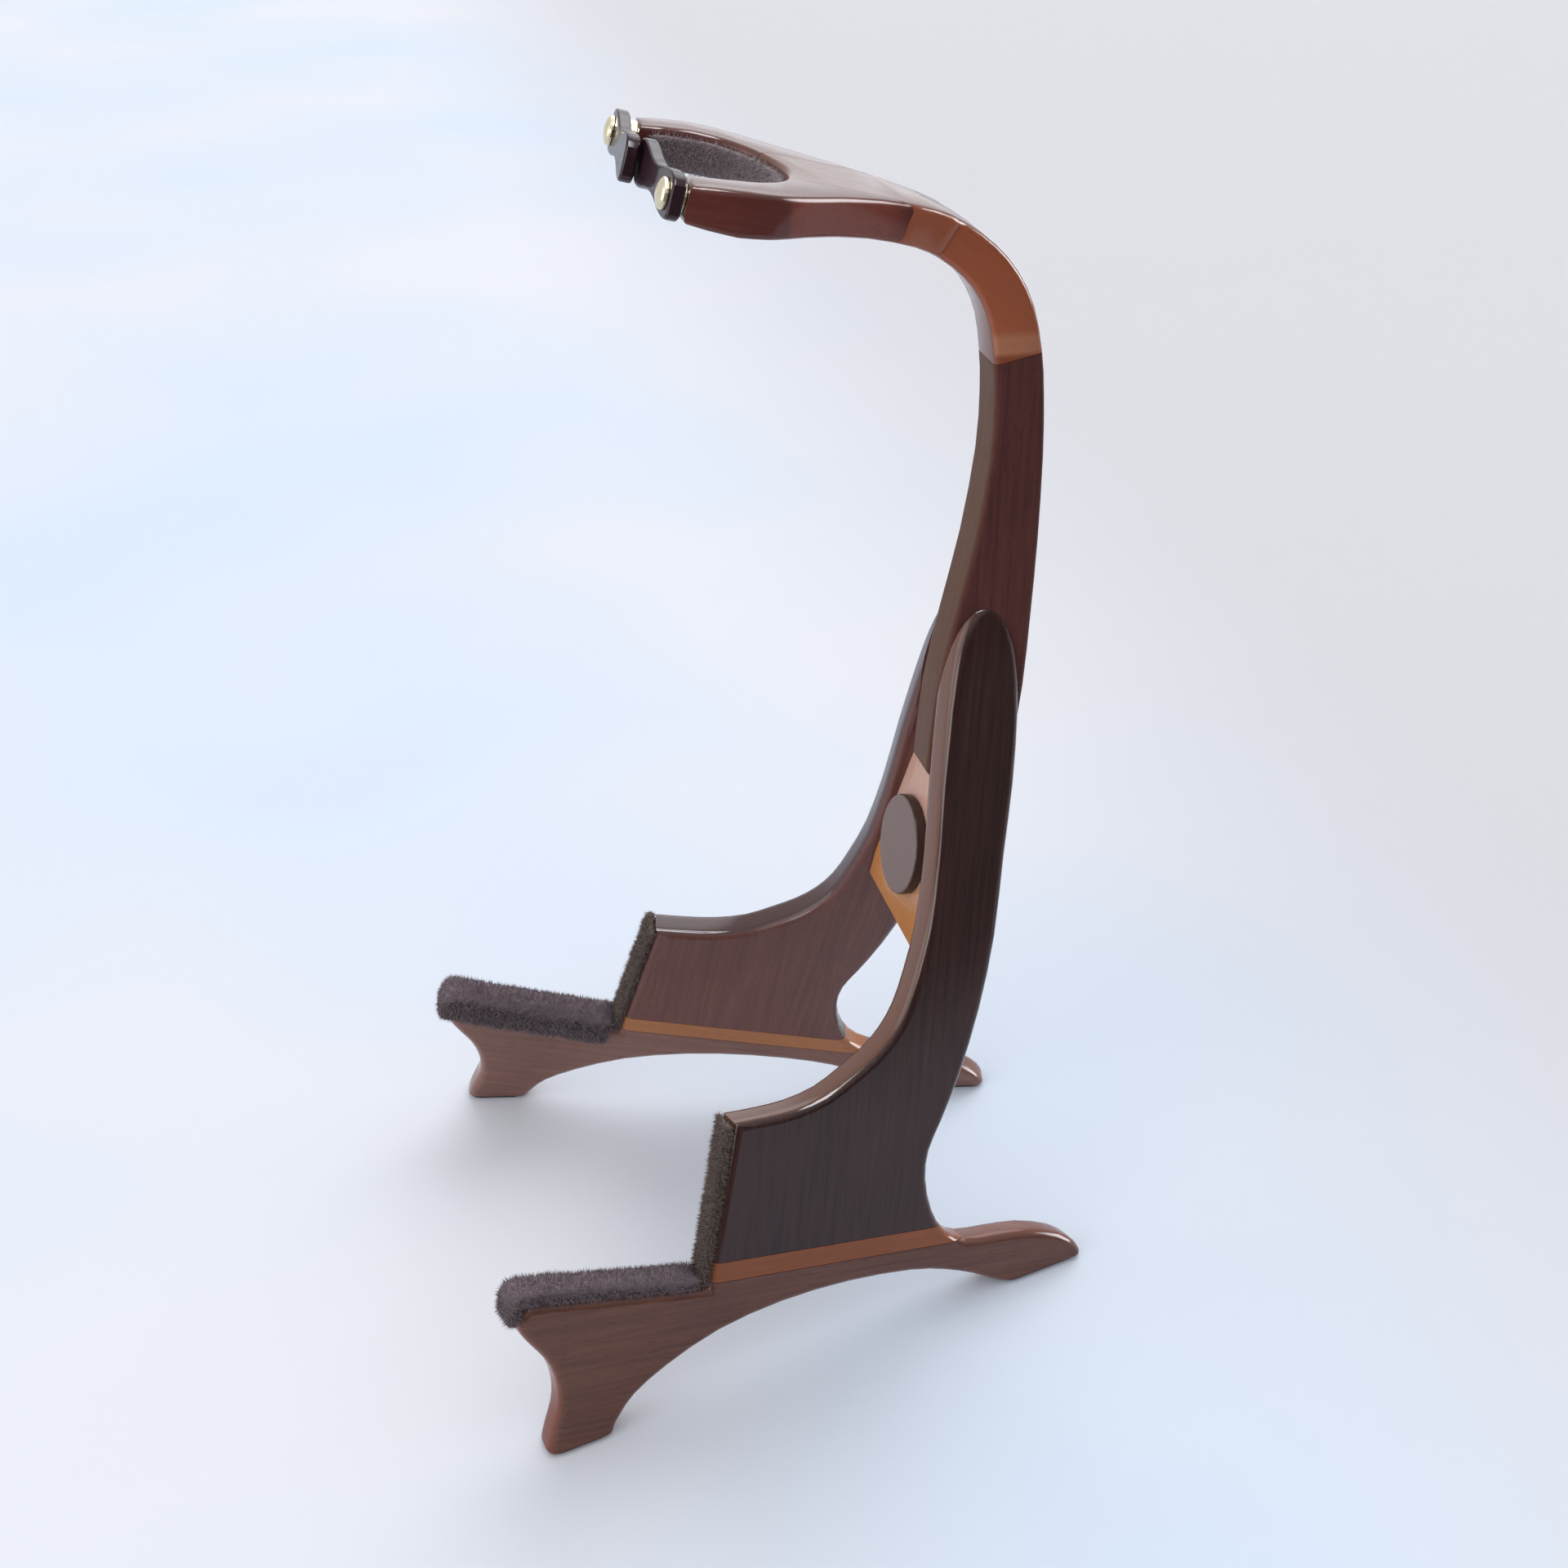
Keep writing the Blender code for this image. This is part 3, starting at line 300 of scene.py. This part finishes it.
def glareTintRamp(tree, coords, paintedTints):  # a painted tint of glare and shade that changes along a piece, from place to place in mm
    place = addNode(tree, "SeparateXYZ", {"Vector": coords}).outputs[paintedTints["axis"]]
    low, high = paintedTints["stops"][0][0], paintedTints["stops"][-1][0]
    share = addNode(tree, "MapRange", {"Value": place, "From Min": low * mm, "From Max": high * mm})
    ramp = addNode(tree, "ValToRGB", {"Fac": share.outputs[0]})
    marks = ramp.color_ramp.elements
    for index, (position, tint) in enumerate(paintedTints["stops"]):
        spot = (position - low) / (high - low)
        mark = marks[index] if index < 2 else marks.new(spot)
        mark.position = spot
        mark.color = toLinear(tint)
    return ramp.outputs["Color"]


def paintedEdgeMask(tree, face):  # 1 on a board's edges and 0 on its two faces: where the painted edge tone goes
    normal = addNode(tree, "NewGeometry").outputs["Normal"]
    facing = addNode(tree, "VectorMath", {0: normal, 1: face}, operation="DOT_PRODUCT").outputs["Value"]
    flat = addNode(tree, "Math", {0: facing}, operation="ABSOLUTE").outputs[0]
    share = addNode(tree, "MapRange", {"Value": flat, "From Min": paintedEdgeRange["from"],
                                       "From Max": paintedEdgeRange["to"]}, interpolation_type="SMOOTHSTEP")
    return share.outputs[0]


def woodMaterial(name, wood, grain, clear=lacquer["clear"], paintedTints=None, face=None):
    # long streaks, fine fibres and short open pores, with a painted edge tone of light, shade and reflection
    # on a board's edges where it has one, and painted glare tints along a piece where they are given
    material, tree, output = newMaterial(name)
    coords = addNode(tree, "TexCoord").outputs["Object"]
    turned = addNode(tree, "Mapping", {"Vector": coords, "Rotation": grain.to_euler()}).outputs[0]
    poreStretch = pores["width"] / pores["length"]
    long = addNode(tree, "Mapping", {"Vector": turned, "Scale": (1, 1, figure["stretch"])}).outputs[0]
    short = addNode(tree, "Mapping", {"Vector": turned, "Scale": (1, 1, poreStretch)}).outputs[0]
    drift = addNode(tree, "TexNoise", {"Vector": turned, "Scale": 1 / (figure["drift"] * mm), "Detail": 2.0})
    streaks = addNode(tree, "TexNoise", {"Vector": long, "Scale": 1 / (wood["streak"] * mm), "Detail": 3.0,
                                         "Roughness": 0.55, "Distortion": 0.6})
    fibres = addNode(tree, "TexNoise", {"Vector": long, "Scale": 1 / (figure["fibre"] * mm), "Detail": 2.0})
    pits = addNode(tree, "TexNoise", {"Vector": short, "Scale": 1 / (2 * pores["width"] * mm), "Detail": 1.0})
    bands = addNode(tree, "MapRange", {"Value": streaks.outputs["Fac"], "From Min": 0.3, "From Max": 0.7})
    lines = addNode(tree, "MapRange", {"Value": fibres.outputs["Fac"], "From Min": 0.3, "From Max": 0.7})
    slow = addNode(tree, "MapRange", {"Value": drift.outputs["Fac"], "From Min": 0.3, "From Max": 0.7})
    striped = addNode(tree, "Mix", {"Factor": 0.35, 2: bands.outputs[0], 3: lines.outputs[0]},
                      data_type="FLOAT")
    mottled = addNode(tree, "Mix", {"Factor": 0.3, 2: striped.outputs[0], 3: slow.outputs[0]},
                      data_type="FLOAT")
    softened = addNode(tree, "Mix", {"Factor": wood["contrast"], 2: 0.5, 3: mottled.outputs[0]},
                       data_type="FLOAT")
    body = addNode(tree, "Mix", {"Factor": softened.outputs[0], 6: toLinear(wood["dark"]),
                                 7: toLinear(wood["light"])}, data_type="RGBA").outputs[2]
    # painted glare and shade: tints that multiply the wood along a piece
    if paintedTints:
        body = addNode(tree, "Mix", {"Factor": 1.0, 6: body, 7: glareTintRamp(tree, coords, paintedTints)},
                       data_type="RGBA", blend_type="MULTIPLY").outputs[2]
    # painted light, painted shade and painted reflection: the edge tone laid over a board's edges
    if face:
        body = addNode(tree, "Mix", {"Factor": paintedEdgeMask(tree, face), 6: body, 7: toLinear(wood["edge"])},
                       data_type="RGBA").outputs[2]
    poreMask = addNode(tree, "MapRange", {"Value": pits.outputs["Fac"], "From Min": 0.6, "From Max": 0.7,
                                          "To Max": wood["poreShare"]})
    darker = addNode(tree, "Mix", {"Factor": 1.0, 6: body, 7: (*[pores["colour"]] * 3, 1.0)},
                     data_type="RGBA", blend_type="MULTIPLY")
    colour = addNode(tree, "Mix", {"Factor": poreMask.outputs[0], 6: body, 7: darker.outputs[2]},
                     data_type="RGBA")
    height = addNode(tree, "Math", {0: lines.outputs[0], 1: poreMask.outputs[0]}, operation="SUBTRACT")
    bump = addNode(tree, "Bump", {"Height": height.outputs[0], "Strength": 0.1, "Distance": 0.0001})
    rough = addNode(tree, "MapRange", {"Value": bands.outputs[0], "To Min": 0.42, "To Max": 0.55})
    shader = addNode(tree, "BsdfPrincipled", {
        "Base Color": colour.outputs[2], "Roughness": rough.outputs[0], "IOR": 1.5,
        "Specular IOR Level": 0.05, "Coat Weight": clear, "Coat Roughness": lacquer["roughness"],
        "Coat IOR": lacquer["ior"], "Normal": bump.outputs["Normal"]})
    tree.links.new(shader.outputs["BSDF"], output.inputs["Surface"])
    return material


def applyModifiers(piece):  # keeps the shape that the modifiers give
    bpy.context.view_layer.update()
    shaped = bpy.data.meshes.new_from_object(piece.evaluated_get(bpy.context.evaluated_depsgraph_get()))
    piece.modifiers.clear()
    piece.data = shaped


sanding = {"weld": 0.002, "flat": 0.3, "edge": 40, "sharp": 38}   # mm, and then angles in degrees
rounded = {"gate": 0.3, "spreader": 0.6, "medallion": 0.9}   # mm


def sandSmooth(node, material, rounding=0.0, body="stand", slot="dark_wood"):
    # a CAD solid with its bends sanded smooth, and its edges rounded over where a rounding in mm is given
    words = node.split("_")
    name = words[0] + "".join(word.title() for word in words[1:])
    piece = bpy.data.objects.new(name, nodes[node].data.copy())
    bpy.context.scene.collection.objects.link(piece)
    bm = bmesh.new()
    bm.from_mesh(piece.data)
    bmesh.ops.remove_doubles(bm, verts=bm.verts, dist=sanding["weld"] * mm)
    bmesh.ops.dissolve_limit(bm, angle_limit=math.radians(sanding["flat"]), verts=bm.verts, edges=bm.edges)
    bm.to_mesh(piece.data)
    bm.free()
    if "custom_normal" in piece.data.attributes:
        piece.data.attributes.remove(piece.data.attributes["custom_normal"])
    if rounding:
        edge = piece.modifiers.new("rounding", "BEVEL")
        edge.width = rounding * mm
        edge.segments = 2
        edge.angle_limit = math.radians(sanding["edge"])
        applyModifiers(piece)
    piece.data.shade_smooth()
    piece.data.set_sharp_from_angle(angle=math.radians(sanding["sharp"]))
    if slot not in ("neck_wood", "arm_wood"):   # the bent pieces turn all along, so they need no flat faces
        piece.modifiers.new("evenShade", "WEIGHTED_NORMAL").keep_sharp = True
        applyModifiers(piece)
    piece.data.materials.clear()
    piece.data.materials.append(material)
    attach(piece, body)
    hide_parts(node)


def dressLegs():
    strip = math.radians(legTurn["strip"])
    for side, label in ((1, "right"), (-1, "left")):
        rearward, upward, outward = legAxes(side)
        panelGrain = grainFrame(upward + rearward * 0.18, rearward)
        railGrain = grainFrame(rearward * math.cos(strip) - upward * math.sin(strip), upward)
        # one wood on both legs: the right leg's tones carry painted shade and the left leg's painted light
        panel = woodMaterial(label + "WalnutPanel", woods[label + "Panel"], panelGrain, face=outward)
        sandSmooth(label + "_upper_panel", panel)
        rail = woodMaterial(label + "WalnutRail", woods[label + "Rail"], railGrain, face=outward)
        sandSmooth(label + "_foot_rail", rail, slot="rail_wood")
        mahogany = woodMaterial(label + "MahoganyStrip", woods[label + "Strip"], railGrain)
        sandSmooth(label + "_accent_strip", mahogany, slot="strip_wood")


def dressFork():
    across = (1, 0, 0)
    rosewood = woodMaterial("rosewoodArm", woods["arm"], grainFrame((0, 0.97, -0.22), across),
                            paintedTints=armPaintedGlare, face=across)
    ebony = woodMaterial("ebonyGate", woods["gate"], grainFrame(across, (0, 0, 1)), lacquer["gate"])
    for side in ("right", "left"):
        sandSmooth(side + "_yoke_arm", rosewood, slot="arm_wood")
        sandSmooth(side + "_gate", ebony, rounded["gate"], side + "_gate", "gate_wood")
    cherry = woodMaterial("cherryNeck", woods["neck"], grainFrame((0, 0.75, -0.65), across),
                          paintedTints=neckPaintedGlare, face=across)
    sandSmooth("gooseneck", cherry, slot="neck_wood")


def dressMiddle():  # the mast, the spreader with its disc, and the dowels
    across, upright = (1, 0, 0), (0, 0, 1)
    walnut = woodMaterial("walnutMast", woods["mast"], grainFrame(upright, (0, 1, 0)), lacquer["mast"],
                          face=across)
    sandSmooth("mast_post", walnut, slot="mast_wood")
    cherry = woodMaterial("cherrySpreader", woods["spreader"], grainFrame(upright, across),
                          lacquer["dull"], spreaderPaintedLight)
    sandSmooth("spreader_block", cherry, rounded["spreader"], slot="spreader_wood")
    disc = woodMaterial("walnutDisc", woods["disc"], grainFrame((1, 0, 0.1), upright), lacquer["dull"],
                        face=(0, 1, 0))
    sandSmooth("medallion", disc, rounded["medallion"], slot="medallion_wood")
    beech = woodMaterial("beechDowel", woods["dowel"], grainFrame(across, upright), lacquer["bare"])
    dress([name for name in nodes if "dowel" in name], beech)


dressLegs()
dressFork()
dressMiddle()
print("wood dressed")

metals = {"brass": "#cfc09a", "pale": "#e6dcc0", "tarnish": 3.0, "marks": 0.35}   # mm for the last two


def brassMaterial():  # polished brass: pale yellow metal with fine marks, duller in some places
    material, tree, output = newMaterial("turnedBrass")
    coords = addNode(tree, "TexCoord").outputs["Object"]
    tarnish = addNode(tree, "TexNoise", {"Vector": coords, "Scale": 1 / (metals["tarnish"] * mm),
                                         "Detail": 4.0})
    marks = addNode(tree, "TexNoise", {"Vector": coords, "Scale": 1 / (metals["marks"] * mm), "Detail": 2.0})
    colour = addNode(tree, "Mix", {"Factor": tarnish.outputs["Fac"], 6: toLinear(metals["pale"]),
                                   7: toLinear(metals["brass"])}, data_type="RGBA")
    rough = addNode(tree, "MapRange", {"Value": tarnish.outputs["Fac"], "To Min": 0.16, "To Max": 0.32})
    bump = addNode(tree, "Bump", {"Height": marks.outputs["Fac"], "Strength": 0.1, "Distance": 0.0001})
    shader = addNode(tree, "BsdfPrincipled", {
        "Base Color": colour.outputs[2], "Metallic": 1.0, "Roughness": rough.outputs[0],
        "Normal": bump.outputs["Normal"]})
    tree.links.new(shader.outputs["BSDF"], output.inputs["Surface"])
    return material


dress([name for name in nodes if name.endswith(("screw", "washer", "spacer", "insert"))], brassMaterial())

rubber = {"dark": "#101011", "light": "#1d1d1e", "grit": 0.4}   # grit in mm


def rubberMaterial():  # self-adhesive rubber bumpers: dull black with a fine moulded grain
    material, tree, output = newMaterial("blackRubber")
    coords = addNode(tree, "TexCoord").outputs["Object"]
    grit = addNode(tree, "TexNoise", {"Vector": coords, "Scale": 1 / (rubber["grit"] * mm), "Detail": 2.0})
    colour = addNode(tree, "Mix", {"Factor": grit.outputs["Fac"], 6: toLinear(rubber["dark"]),
                                   7: toLinear(rubber["light"])}, data_type="RGBA")
    bump = addNode(tree, "Bump", {"Height": grit.outputs["Fac"], "Strength": 0.3, "Distance": 0.0002})
    shader = addNode(tree, "BsdfPrincipled", {"Base Color": colour.outputs[2], "Roughness": 0.75,
                                              "Normal": bump.outputs["Normal"]})
    tree.links.new(shader.outputs["BSDF"], output.inputs["Surface"])
    return material


dress([name for name in nodes if name.endswith("foot_pad")], rubberMaterial())
print("brass and rubber dressed")

# Felt: wool felt glued over the ledges, the back edges and the inside of the fork
feltLook = {"tuft": 1.8, "thread": 0.35, "lump": 9.0, "knot": 3.0,   # mm
            "paintedLightShare": 0.72,   # the share of the tone that comes from facing up, as painted light on top and painted shade on the sides; the rest is the tufts
            "sheen": "#c8bcc0",
            "pressure": 4, "steps": 20}   # how hard the cloth is blown up, and for how many frames
# For the pads "light" is the tone that faces up and "dark" the tone of the sides: painted light and painted
# shade.
feltTones = {
    "ledge_pad": {"light": "#887980", "dark": "#2f2827", "hair": "#7d7074"},
    "back_pad": {"light": "#75675f", "dark": "#2c2220", "hair": "#7a6c63"},
    # the yoke felt's lighter tones are painted light
    "yoke_felt": {"light": "#a09193", "dark": "#6e6162", "hair": "#aea2a2"},
}
feltPads = {
    "ledge_pad": {"voxel": 1.6, "smooth": 5, "swell": 1.2, "rough": 0.5, "hairs": 15000, "fill": 0.5},
    "back_pad": {"voxel": 1.2, "smooth": 3, "swell": 0.6, "rough": 0.4, "hairs": 8000, "fill": 0.4},
    "yoke_felt": {"voxel": 1.0, "smooth": 2, "swell": 0.3, "rough": 0.25, "hairs": 8000, "fill": 0.3},
}
feltHair = {"shortest": 1.0, "longest": 3.2, "width": 0.36,   # mm, wider than real fibres so that they show
            "spread": 0.75}   # how far they lean over
ledgeFelt = {   # mm
    "rearRun": 2.0,      # how far the rear end is pushed against the back felt
    "flapRun": 12.0,     # how far the inner flap runs on past the corner
    "flapZone": 24.0,    # length of flap that moves with its end
    "flapDepth": 3.4,    # how deep from the pad's inner side counts as flap
    "flapCorner": 8.0,   # height from the lower edge over which the flap's end runs on less
    "endZone": 14.0,     # length of felt that moves with the rear end
    "topZone": 8.0,      # height of felt that moves with the top
    "frontCurl": 14.0,   # length over which the front's top is rolled back
    "frontBack": 2.2,    # how far it is rolled back
    "frontDrop": 1.2,    # how far it is pressed down
    "rearSink": {"right": 1.2, "left": 0.0},    # how far the top sinks towards the rear
    "frontRise": {"right": 0.0, "left": 0.9},   # how far it rises towards the front
}


def padAxes(side):  # along the ledge, up from it, and out of the leg
    rearward, upward, outward = legAxes(side)
    tilt = math.radians(legTurn["notch"])
    along = rearward * math.cos(tilt) - upward * math.sin(tilt)
    return along, upward * math.cos(tilt) + rearward * math.sin(tilt), outward


def ease(share):  # 0 to 1 with soft ends
    share = min(max(share, 0.0), 1.0)
    return share * share * (3 - 2 * share)


def layLedgeFelt(mesh, label):  # rolls the front back, closes the corner and runs the flap past it
    along, up, out = padAxes(1 if label == "right" else -1)
    look = ledgeFelt
    lengths = [vert.co.dot(along) for vert in mesh.vertices]
    heights = [vert.co.dot(up) for vert in mesh.vertices]
    front, rear, top, low = min(lengths), max(lengths), max(heights), min(heights)
    inner = min(vert.co.dot(out) for vert in mesh.vertices)
    for vert, length, height in zip(mesh.vertices, lengths, heights):
        raised = ease(1 - (top - height) / (look["topZone"] * mm))
        curl = ease(1 - (length - front) / (look["frontCurl"] * mm)) * raised
        back = ease((length - front) / (rear - front))
        end = ease(1 - (rear - length) / (look["endZone"] * mm))
        move = along * (look["frontBack"] * curl + look["rearRun"] * end) * mm
        rise = look["frontRise"][label] * (1 - back) - look["rearSink"][label] * back
        move += up * (rise * raised - look["frontDrop"] * curl) * mm
        if vert.co.dot(out) - inner < look["flapDepth"] * mm:
            flapEnd = ease(1 - (rear - length) / (look["flapZone"] * mm))
            corner = ease((height - low) / (look["flapCorner"] * mm))
            move += along * look["flapRun"] * flapEnd * (0.75 + 0.25 * corner) * mm
        vert.co += move


def feltMaterial(name, light, dark):
    # felted wool: matt and mottled, lighter where it faces up and darker on its sides as painted light and
    # painted shade, with a soft bright rim from its nap
    material, tree, output = newMaterial(name)
    coords = addNode(tree, "TexCoord").outputs["Object"]
    tufts = addNode(tree, "TexNoise", {"Vector": coords, "Scale": 1 / (feltLook["tuft"] * mm), "Detail": 4.0})
    threads = addNode(tree, "TexNoise", {"Vector": coords, "Scale": 1 / (feltLook["thread"] * mm),
                                         "Detail": 2.0})
    spread = addNode(tree, "MapRange", {"Value": tufts.outputs["Fac"], "From Min": 0.32, "From Max": 0.68})
    # painted light and shade: the tone turns lighter as the face turns up
    facing = addNode(tree, "SeparateXYZ", {"Vector": addNode(tree, "NewGeometry").outputs["Normal"]})
    upward = addNode(tree, "MapRange", {"Value": facing.outputs["Z"], "From Min": 0.15, "From Max": 0.9})
    tuftsAndPaintedLight = addNode(tree, "Mix", {"Factor": feltLook["paintedLightShare"], 2: spread.outputs[0],
                                   3: upward.outputs[0]}, data_type="FLOAT")
    colour = addNode(tree, "Mix", {"Factor": tuftsAndPaintedLight.outputs[0], 6: toLinear(dark),
                                   7: toLinear(light)}, data_type="RGBA")
    height = addNode(tree, "Math", {0: tufts.outputs["Fac"], 1: threads.outputs["Fac"]}, operation="ADD")
    bump = addNode(tree, "Bump", {"Height": height.outputs[0], "Strength": 0.7, "Distance": 0.0006})
    shader = addNode(tree, "BsdfPrincipled", {
        "Base Color": colour.outputs[2], "Roughness": 1.0, "Specular IOR Level": 0.1, "Sheen Weight": 0.35,
        "Sheen Roughness": 0.5, "Sheen Tint": toLinear(feltLook["sheen"]), "Normal": bump.outputs["Normal"]})
    tree.links.new(shader.outputs["BSDF"], output.inputs["Surface"])
    return material


def swell(piece, limit):  # cloth blown up from inside, with no point moved further than the limit
    before = [vert.co.copy() for vert in piece.data.vertices]
    cloth = piece.modifiers.new("swell", "CLOTH")
    cloth.settings.use_pressure = True
    cloth.settings.uniform_pressure_force = feltLook["pressure"]
    cloth.settings.effector_weights.gravity = 0
    for step in range(1, feltLook["steps"] + 1):
        bpy.context.scene.frame_set(step)
    applyModifiers(piece)
    bpy.context.scene.frame_set(1)
    for vert, old in zip(piece.data.vertices, before):
        move = vert.co - old
        if move.length > limit:
            vert.co = old + move * (limit / move.length)


def roughen(piece, depth):  # uneven thickness of hand-laid felt
    piece.data.update()
    normals = [vert.normal.copy() for vert in piece.data.vertices]
    for vert, normal in zip(piece.data.vertices, normals):
        lump = noise.noise(vert.co / (feltLook["lump"] * mm))
        knot = 0.5 * noise.noise(vert.co / (feltLook["knot"] * mm))
        vert.co += normal * (lump + knot) * depth


def growHairs(pad, count, seed):  # loose hairs that stand off the felt, each one thin blade
    dice = random.Random(seed)
    mesh = pad.data
    faces = dice.choices(mesh.polygons, weights=[face.area for face in mesh.polygons], k=count)
    bm = bmesh.new()
    for face in faces:
        corners = [mesh.vertices[index].co for index in face.vertices]
        start = corners[0].lerp(corners[1], dice.random()).lerp(corners[2], dice.random())
        lean = Vector([dice.uniform(-1, 1) for _ in range(3)])
        length = dice.uniform(feltHair["shortest"], feltHair["longest"]) * mm
        tip = start + (face.normal + lean * feltHair["spread"]).normalized() * length
        width = face.normal.cross(lean).normalized() * feltHair["width"] / 2 * mm
        bm.faces.new([bm.verts.new(place) for place in (start - width, start + width, tip)])
    hairs = bpy.data.meshes.new(pad.name + "Hairs")
    bm.to_mesh(hairs)
    bm.free()
    return bpy.data.objects.new(pad.name + "Hairs", hairs)


def makeFelt(node, name, look, seed, cover, fuzz):  # a swollen pad and its hairs, in two materials
    pad = bpy.data.objects.new(name, nodes[node].data.copy())
    pad.data.materials.clear()
    bpy.context.scene.collection.objects.link(pad)
    remesh = pad.modifiers.new("remesh", "REMESH")
    remesh.mode = "VOXEL"
    remesh.voxel_size = look["voxel"] * mm
    applyModifiers(pad)
    if node.endswith("ledge_pad"):
        layLedgeFelt(pad.data, node.split("_")[0])
    smooth = pad.modifiers.new("smooth", "SMOOTH")
    smooth.iterations = look["smooth"]
    applyModifiers(pad)
    swell(pad, look["swell"] * mm)
    roughen(pad, look["rough"] * mm)
    subdivided = pad.modifiers.new("fine", "SUBSURF")
    subdivided.levels = subdivided.render_levels = 1
    applyModifiers(pad)
    pad.data.shade_smooth()
    pad.data.materials.clear()
    pad.data.materials.append(cover)
    hairs = growHairs(pad, look["hairs"], seed)
    hairs.data.materials.append(fuzz)
    bpy.context.scene.collection.objects.link(hairs)
    for piece in (pad, hairs):
        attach(piece, "stand")
    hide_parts(node)


for kind, tones in feltTones.items():
    padWool = feltMaterial(kind.replace("_", "") + "Wool", tones["light"], tones["dark"])
    hairWool = feltMaterial(kind.replace("_", "") + "Hairs", tones["hair"], tones["light"])
    for seed, node in enumerate(sorted(name for name in nodes if name.endswith(kind))):
        makeFelt(node, kind.split("_")[0] + "Felt" + str(seed + 1), feltPads[kind], seed, padWool, hairWool)
print("felt made")
